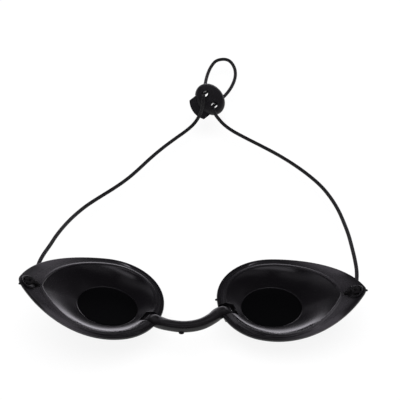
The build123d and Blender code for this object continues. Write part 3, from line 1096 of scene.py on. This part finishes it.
@dataclass
class Cord:
    """The elastic cord: a run from each cup to the lock, and the loop behind the lock."""

    diameter: float = 1.75
    segments: int = 20
    steps: int = 8
    crease: float = 60.0
    left: Route = (
        (-65.86, -6.19, 18.09), (-66.31, -6.28, 15.74), (-66.7, -4.2, 13.0), (-67.5, 0.4, 12.2),
        (-68.3, 8.8, 12.2), (-68.1, 18.4, 12.1), (-66.4, 26.6, 11.5), (-64.3, 34.6, 10.1),
        (-62.0, 45.4, 8.2), (-58.7, 57.5, 5.5), (-55.3, 67.7, 3.0), (-50.7, 77.1, 1.4),
        (-44.5, 85.0, 0.9), (-37.9, 92.3, 0.9), (-31.8, 100.1, 0.9), (-26.7, 108.4, 0.9),
        (-21.5, 117.5, 0.9), (-15.5, 126.7, 0.9), (-9.1, 135.3, 0.9), (-3.5, 142.3, 1.0),
        (0.3, 146.3, 2.6), (2.7, 148.1, 6.2), (4.0, 147.1, 10.9), (4.45, 147.4, 14.9),
        (4.62, 150.6, 16.36), (4.62, 154.07, 14.36),
    )
    right: Route = (
        (64.99, -1.11, 9.31), (64.99, -1.11, 6.91), (66.2, 1.1, 5.2), (68.6, 5.6, 4.9),
        (71.0, 13.2, 5.1), (72.1, 21.6, 5.1), (72.0, 31.4, 4.7), (71.5, 41.7, 3.8),
        (70.9, 53.0, 2.5), (69.6, 63.8, 1.4), (67.9, 74.1, 0.9), (65.1, 83.7, 0.9),
        (61.1, 93.6, 0.9), (55.2, 103.2, 0.9), (48.8, 111.8, 0.9), (40.9, 120.8, 0.9),
        (32.2, 129.1, 0.9), (24.4, 136.3, 0.9), (18.5, 142.1, 1.0), (14.5, 145.3, 2.6),
        (11.7, 146.3, 5.8), (9.9, 145.4, 9.4), (9.36, 147.57, 11.11), (9.36, 151.03, 9.11),
    )
    loop: Route = (
        (4.62, 154.07, 14.36), (4.62, 164.46, 8.36), (5.0, 174.7, 4.4), (5.6, 185.3, 2.2),
        (6.6, 195.1, 1.1), (8.5, 203.9, 0.9), (11.7, 211.5, 0.9), (18.1, 212.3, 0.9),
        (21.4, 204.3, 0.9), (21.9, 194.5, 0.9), (19.9, 184.7, 0.9), (16.5, 175.3, 1.3),
        (12.3, 167.7, 2.0), (9.36, 161.43, 3.11), (9.36, 151.03, 9.11),
    )

    def _stretch(self, name: str, path: list[Vector], node: str) -> Piece:
        """One piece of cord.

        Args:
            name: The piece's name.
            path: Its middle line.
            node: The node that it stands in for.

        Returns:
            The piece.
        """
        piece = object_of(tube(path, self.diameter / 2 * MM, self.segments), name, CORD_BRAID)
        shade(piece, self.crease)
        travel_along(path)[-1]
        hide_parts(node)
        return piece

    def run(self, side: Side) -> list[Piece]:
        """Build one run in two halves.

        Args:
            side: Which cup the run comes from.

        Returns:
            The two halves.
        """
        path = smooth_path(self.left if side is Side.LEFT else self.right, self.steps)
        middle = len(path) // 2
        halves = []
        for half, stretch, end, moving in (
            ("near", path[: middle + 1], f"{side.word}_cup", path[0]),
            ("far", path[middle:], "lock", path[-1]),
        ):
            name = f"cord_{side.word}"
            piece = self._stretch(f"{name}_{half}_half", stretch, f"{name}_run")
            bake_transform(piece)
            halves.append(piece)
        return halves

    def tail(self) -> Piece:
        """Build the loop behind the lock.

        Returns:
            The loop.
        """
        piece = self._stretch("cord_tail_loop", smooth_path(self.loop, self.steps), "cord_loop")
        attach(piece, "lock")
        return piece


@dataclass
class Knot:
    """A tight overhand knot in the tip pocket of a cup."""

    cup: EyeCup
    cord: Cord
    size: float = 1.32
    flatness: float = 0.8
    tightness: float = 0.94
    rise: float = 1.55
    sink: float = 0.3
    stem: Route = ((0.0, 0.0, -3.2), (0.0, 0.0, -0.8), (0.2, 0.05, 0.55))
    turns: Route = (
        (-1.25, 0.10, 0.10), (-0.60, 0.75, 0.45), (0.45, 0.95, 0.75), (1.20, 0.30, 0.70),
        (0.95, -0.75, 0.35), (0.00, -1.05, 0.10), (-0.80, -0.50, 0.55), (-0.55, 0.45, 1.15),
        (0.35, 0.55, 1.05), (0.75, -0.10, 0.20), (1.30, -0.60, -0.15), (1.95, -0.85, 0.10),
    )

    def _route(self) -> Route:
        """The knot's middle line in the cup's frame, from the hole to its cut end."""
        cup, size = self.cup, self.size
        mouth = cup.land_height(cup.hole_u)
        base = cup.land_height(cup.pocket_u) - cup.pocket_depth + self.rise
        stem = [(cup.hole_u + x, y, mouth + z) for x, y, z in self.stem]
        knot = [
            (cup.pocket_u + x * size, y * size, base + (z - self.sink) * size * self.flatness)
            for x, y, z in self.turns
        ]
        return tuple(tuple(cup.point(*place) / MM) for place in stem + knot)

    def build(self) -> Piece:
        """Build the knot and put it in its node's place.

        Returns:
            The knot.
        """
        cord, word = self.cord, self.cup.side.word
        path = smooth_path(self._route(), cord.steps)
        bm = tube(path, cord.diameter / 2 * MM * self.tightness, cord.segments)
        # the knot's braid is darker by painted shade
        piece = object_of(bm, f"{word}_overhand_knot", SHADED_KNOT_BRAID)
        shade(piece, cord.crease)
        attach(piece, f"{word}_cup")
        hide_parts(f"{word}_cord_knot")
        return piece


@dataclass
class Bridge:
    """The flexible bar between the cups, in two halves.

    Each row of the tails has the reach and height of a point on the notch's middle line, and the
    width and height of the section there.
    """

    left: EyeCup
    right: EyeCup
    width: float = 5.0
    height: float = 4.2
    tails: tuple[tuple[float, ...], ...] = (
        (16.8, 3.4, 3.0, 0.8), (18.9, 3.7, 4.6, 1.4), (20.1, 4.7, 5.2, 3.4), (21.4, 5.6, 5.4, 4.4),
        (24.4, 5.6, 5.4, 4.4),
    )
    middle: Route = ((-10.9, -14.3, 5.8), (-4.1, -15.5, 5.6), (2.9, -14.3, 5.8), (8.1, -10.5, 6.1))
    segments: int = 48
    steps: int = 24
    squareness: float = 0.78
    crease: float = 50.0
    gate_place: Place = (-5.0, -17.6, 4.3)
    gate_radius: float = 0.75
    gate_stretch: Place = (1.6, 1.0, 0.8)
    hold_reach: float = 23.0

    def _stations(self) -> list[tuple[Vector, float, float]]:
        """The middle line's points, each with the width and height of the section."""
        rows = [(self.left.notch_point(r, h) / MM, w, t) for r, h, w, t in self.tails]
        rows += [(Vector(place), self.width, self.height) for place in self.middle]
        rows += [(self.right.notch_point(r, h) / MM, w, t) for r, h, w, t in reversed(self.tails)]
        return rows

    def _corner(self, value: float) -> float:
        """Push a sine or cosine outwards, which squares the section."""
        return abs(value) ** self.squareness * (1 if value > 0 else -1)

    def _gate(self) -> Shape:
        """The trimmed gate mark on the underside of the bar, in metres."""
        bm = ball(self.gate_radius * MM, self.gate_stretch, segments=12)
        move(bm, Vector(self.gate_place) * MM)
        return bm

    def _section(self, point: Vector, ahead: Vector, width: float, height: float) -> Ring:
        """The bar's section, square to the way ahead.

        Args:
            point: Its middle.
            ahead: The way that the bar runs there.
            width: Its width.
            height: Its height.

        Returns:
            The section's ring.
        """
        across = ahead.cross(Vector((0, 0, 1))).normalized()
        up = across.cross(ahead)
        ring = []
        for step in range(self.segments):
            turn = tau * step / self.segments
            wide, tall = self._corner(cos(turn)), self._corner(sin(turn))
            side = across * (width / 2 * MM * wide)
            ring.append(point + side + up * (height / 2 * MM * tall))
        return ring

    def _half(self, name: str, rings: list[Ring], path: list[Vector]) -> Piece:
        """One half of the bar.

        Args:
            name: The piece's name.
            rings: Its rings from end to end.
            path: Its middle line.

        Returns:
            The half.
        """
        skin = skin_of_rings(rings)
        if path[0].x < self.gate_place[0] * MM < path[-1].x:
            absorb(skin, self._gate())
        piece = object_of(skin, name, BRIDGE_RUBBER)
        shade(piece, self.crease)
        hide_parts("nose_bridge")
        return piece

    def build(self) -> list[Piece]:
        """Build both halves.

        Returns:
            The two halves.
        """
        stations = self._stations()
        path = smooth_path([tuple(row[0]) for row in stations], self.steps)
        last, middle = len(path) - 1, len(path) // 2
        rings = []
        for index, point in enumerate(path):
            place = index / last * (len(stations) - 1)
            low = min(int(place), len(stations) - 2)
            share = eased(place, low, low + 1)
            (_, wide, tall), (_, wider, taller) = stations[low], stations[low + 1]
            ahead = (path[min(index + 1, last)] - path[max(index - 1, 0)]).normalized()
            width, height = wide + (wider - wide) * share, tall + (taller - tall) * share
            rings.append(self._section(point, ahead, width, height))
        made = []
        for cup, span in ((self.left, slice(0, middle + 1)), (self.right, slice(middle, None))):
            word = cup.side.word
            piece = self._half(f"{word}_bridge_half", rings[span], path[span])
            near = cup.notch_point(self.hold_reach, self.tails[-1][1])
            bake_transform(piece)
            made.append(piece)
        return made


@dataclass
class LockShell:
    """The domed oval shell of the cord lock, with flared cord holes and the plunger's pocket."""

    place: Place = (7.9, 156.8, 10.1)
    lean: float = 30.0
    turn: float = 52.0
    length: float = 17.4
    width: float = 13.8
    depth: float = 9.0
    steepest: float = 86.0
    side_curve: float = 0.42
    dome_curve: float = 0.8
    crease: float = 40.0
    hole_radius: float = 1.55
    hole_spacing: float = 7.3
    hole_cut: float = 0.72
    hole_levels: int = 16
    flare: float = 0.5
    flare_reach: float = 1.5
    flare_curve: float = 2.6
    pocket_width: float = 12.4
    pocket_depth: float = 5.6
    pocket_end: float = 4.6
    pocket_corner: float = 2.6
    bore_radius: float = 1.725
    bore_depth: float = 1.0
    plunger_travel: float = 2.2
    spring_wire: float = 0.45
    spring_radius: float = 1.25
    spring_turns: int = 5
    spring_steps: int = 28
    spring_crease: float = 60.0
    spring_span: Pair = (-1.15, 5.55)
    segments: int = 96
    levels: int = 14

    def _frame(self) -> Matrix:
        """The lock's own frame, in millimetres, as it lies in the goggles' frame, in metres."""
        lean, turn = radians(self.lean), radians(self.turn)
        along = Vector((cos(turn), -sin(turn) * sin(lean), -sin(turn) * cos(lean)))
        out = Vector((0, -cos(lean), sin(lean)))
        back = out.cross(along)
        axes = Matrix((along, back, out)).transposed().to_4x4()
        return Matrix.Translation(Vector(self.place) * MM) @ axes @ Matrix.Scale(MM, 4)

    def _body(self) -> list[Ring]:
        """Rings of the domed oval from its back to its face."""
        rings = []
        for level in range(-self.levels, self.levels + 1):
            tilt = radians(self.steepest * level / self.levels)
            spread = cos(tilt) ** self.side_curve
            rise = abs(sin(tilt)) ** self.dome_curve * (1 if level > 0 else -1)
            radii = (self.length / 2 * spread, self.width / 2 * spread)
            rings.append(oval(0.0, radii, self.depth / 2 * rise, self.segments))
        return rings

    def _hole(self, place: float) -> Shape:
        """A cord hole, flared at both faces.

        Args:
            place: Where it is along the oval.

        Returns:
            The cutter, in the lock's frame.
        """
        rings = []
        for step in range(-self.hole_levels, self.hole_levels + 1):
            height = self.depth * self.hole_cut * step / self.hole_levels
            start = self.depth / 2 - self.flare_reach * self.flare
            past = max(abs(height) - start, 0.0) / self.flare
            radius = self.hole_radius + self.flare * past * past / self.flare_curve
            rings.append(oval(place, (radius, radius), height, segments=40))
        return skin_of_rings(rings)

    def _pocket(self) -> Shape:
        """The room that the plunger slides in, open at the plunger's side."""
        reach = self.pocket_end + self.width
        size = (self.pocket_width, reach, self.pocket_depth)
        bm = block(size, self.pocket_corner, segments=8, along=2)
        move(bm, (0, self.pocket_end - reach / 2, 0))
        return bm

    def _bore(self) -> Shape:
        """The seat of the spring at the pocket's end."""
        bm = rod((self.bore_radius, self.bore_radius), 2 * self.bore_depth, segments=32)
        rotate(bm, pi / 2, "X")
        move(bm, (0, self.pocket_end, 0))
        return bm

    def build(self) -> Piece:
        """Build the shell and put it in its node's place.

        Returns:
            The shell.
        """
        piece = object_of(skin_of_rings(self._body()), "lock_domed_shell", LOCK_PLASTIC)
        half = self.hole_spacing / 2
        for cutter in (self._hole(-half), self._hole(half), self._pocket(), self._bore()):
            carve(piece, cutter)
        piece.data.transform(self._frame())
        shade(piece, self.crease)
        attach(piece, "lock")
        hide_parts("lock_shell")
        return piece

    def spring(self) -> Piece:
        """Build the coil behind the plunger.

        Returns:
            The spring.
        """
        frame, wire, radius = self._frame(), self.spring_wire / 2, self.spring_radius
        start, end = self.spring_span
        count = self.spring_turns * self.spring_steps
        path = []
        for step in range(count + 1):
            turn = tau * self.spring_turns * step / count
            reach = start + wire + (end - start - 2 * wire) * step / count
            path.append(frame @ Vector((radius * cos(turn), reach, radius * sin(turn))))
        coil = tube(path, wire * MM, segments=12)
        piece = object_of(coil, "lock_coil_spring", SPRING_STEEL)
        shade(piece, self.spring_crease)
        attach(piece, "lock")
        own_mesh(piece)
        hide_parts("lock_spring")
        return piece


# Studio


@dataclass(frozen=True)
class Lamp:
    """A soft lamp that lights the goggles but isn't mirrored in them."""

    name: str
    place: Place
    size: Pair
    power: float
    target: Place = (0.0, 0.06, 0.0)

    def hang(self) -> None:
        """Hang the lamp, facing its target."""
        light = bpy.data.lights.new(self.name, "AREA")
        light.shape = "RECTANGLE"
        light.size, light.size_y = self.size
        light.energy = self.power
        holder = placed(self.name, light)
        holder.visible_glossy = False
        holder.location = self.place
        ahead = Vector(self.target) - Vector(self.place)
        holder.rotation_euler = ahead.to_track_quat("-Z", "Y").to_euler()


@dataclass
class Studio:
    """A pale table under soft light, seen as the photograph sees it.

    The pairs of a light have places from 0 to 1 and the level there. Its places are the sine of
    the angle above the table, or run from near to far (far_side, strip_side) or from left to
    right (right_side, flanks).
    """

    camera_place: Place = (2.8, -512.4, 432.9)
    camera_tilt: float = 54.0
    focal_pixels: float = 1549.8
    frame_pixels: float = 400.0
    sensor: float = 36.0
    near_clip: float = 10.0
    horizon: Pairs = ((0.0, 1.0), (0.2, 1.0), (0.3, 0.55), (0.4, 0.18), (0.5, 0.05), (0.6, 0.0))
    horizon_strength: float = 2.4
    far_side: Pairs = (
        (0.0, 0.02), (0.5, 0.03), (0.85, 0.07), (0.89, 0.14), (0.965, 0.85), (1.0, 1.0),
    )
    right_side: Pairs = ((0.0, 0.3), (0.25, 0.5), (0.37, 1.0), (1.0, 1.0))
    flanks: Pairs = ((0.36, 1.0), (0.48, 0.0), (0.54, 0.0), (0.66, 1.0))
    flank_height: Pairs = ((0.66, 0.0), (0.72, 1.0), (0.8, 1.0), (0.85, 0.0))
    flank_strength: float = 4.6
    strip_height: Pairs = ((0.86, 0.0), (0.88, 1.0), (0.92, 1.0), (0.94, 0.0))
    strip_side: Pairs = ((0.0, 0.6), (0.36, 0.6), (0.43, 0.0), (0.6, 0.0), (0.66, 0.8))
    strip_strength: float = 1.3
    dimmest: float = 0.012
    tint: Colour = (1.0, 0.965, 1.05)
    table_size: float = 6000.0
    table_drop: float = 5.6
    table_colour: Colour = (0.93, 0.93, 0.94)
    table_white: float = 0.88
    lamps: tuple[Lamp, ...] = (
        Lamp("overhead", (0.0, 0.1, 1.1), (1.8, 1.8), 24.0),
        Lamp("front", (0.0, -1.3, 0.8), (1.8, 0.9), 9.0),
    )

    def _table_material(self) -> bpy.types.Material:
        """A pale matt surface, which the camera and reflections see as all but white."""
        made = bpy.data.materials.new("table")
        made.use_nodes = True
        board = Board(made.node_tree)
        look = {"Base Color": (*self.table_colour, 1), "Specular IOR Level": 0.0}
        lit = board.node("ShaderNodeBsdfPrincipled", {}, {**look, "Roughness": 0.9})
        white = board.node("ShaderNodeEmission", {}, {"Color": (1, 1, 1, 1), "Strength": 1.0})
        rays = board.raw("ShaderNodeLightPath", {}, {})
        seen = Port(board, rays.outputs["Is Camera Ray"])
        for kind in ("Is Glossy Ray", "Is Transmission Ray"):
            seen = seen.larger(Port(board, rays.outputs[kind]))
        inputs = {0: seen * self.table_white, 1: lit, 2: white}
        mixed = board.node("ShaderNodeMixShader", {}, inputs)
        board.raw("ShaderNodeOutputMaterial", {}, {"Surface": mixed})
        return made

    def table(self) -> None:
        """Lay the table, a little below the goggles, so that a cup tilted down stays in sight."""
        bm = bmesh.new()
        bmesh.ops.create_grid(bm, x_segments=1, y_segments=1, size=self.table_size * MM)
        mesh = mesh_of(bm, "table")
        mesh.materials.append(self._table_material())
        table = placed("table", mesh)
        table.location.z = -self.table_drop * MM

    def sky(self) -> None:
        """Light the world: a pale band low on the far side, and softer lights above it."""
        world = bpy.data.worlds.new("studio")
        bpy.context.scene.world = world
        world.use_nodes = True
        board = Board(world.node_tree)
        place = board.node("ShaderNodeTexCoord", {}, {}, "Generated")
        split = board.raw("ShaderNodeSeparateXYZ", {}, {0: place})
        across, depth, height = (Port(board, output) for output in split.outputs)
        inwards, sideways = depth * 0.5 + 0.5, across * 0.5 + 0.5
        band = board.ramp(height, self.horizon) * self.horizon_strength
        flank = board.ramp(sideways, self.flanks) * board.ramp(height, self.flank_height)
        strip = board.ramp(inwards, self.strip_side) * board.ramp(height, self.strip_height)
        glow = band * board.ramp(sideways, self.right_side) + flank * self.flank_strength
        glow = glow * board.ramp(inwards, self.far_side) + strip * self.strip_strength
        inputs = {"Color": (*self.tint, 1), "Strength": glow + self.dimmest}
        light = board.node("ShaderNodeBackground", {}, inputs)
        board.raw("ShaderNodeOutputWorld", {}, {"Surface": light})

    def camera(self) -> None:
        """Set the camera where the photograph was taken from."""
        lens = bpy.data.cameras.new("camera")
        lens.sensor_fit = "HORIZONTAL"
        lens.sensor_width = self.sensor
        lens.lens = self.focal_pixels / self.frame_pixels * self.sensor
        lens.clip_start = self.near_clip * MM
        holder = placed("camera", lens)
        holder.location = Vector(self.camera_place) * MM
        holder.rotation_euler = (radians(self.camera_tilt), 0, 0)
        bpy.context.scene.camera = holder

    def build(self) -> None:
        """Set up the table, the light and the camera."""
        self.table()
        self.sky()
        for lamp in self.lamps:
            lamp.hang()
        self.camera()
        bpy.context.scene.view_settings.view_transform = "Standard"


def dress_nodes(nodes: dict) -> None:
    """Give the nodes that stay their finishes.

    Args:
        nodes: The part's nodes by name.
    """
    for name in ("left_lens", "right_lens"):
        nodes[name].material_slots[0].material = LENS_FILTER.material()
    nodes["lock_plunger"].material_slots[0].material = LOCK_PLASTIC.material()


def main() -> None:
    """Build the scene."""
    logging.basicConfig(level=logging.INFO, format="%(name)s: %(message)s")
    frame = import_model()
    Studio().build()
    dress_nodes(frame["nodes"])
    cord = Cord()
    left = EyeCup(Side.LEFT, -37.3, -0.9, 10.5, 11.0, 36.0, nubs=(-28.0,))
    right = EyeCup(Side.RIGHT, 33.74, 1.9, 5.5, 0.0, 25.0, nubs=(0.0, 188.0))
    lock = LockShell()
    pieces = []
    for cup in (left, right):
        pieces += [cup.build(), Knot(cup, cord).build(), *cord.run(cup.side)]
    pieces += [*Bridge(left, right).build(), lock.build(), lock.spring(), cord.tail()]
    for piece in pieces:
        log.info("built %s", piece.name)


if __name__ == "__main__":
    main()
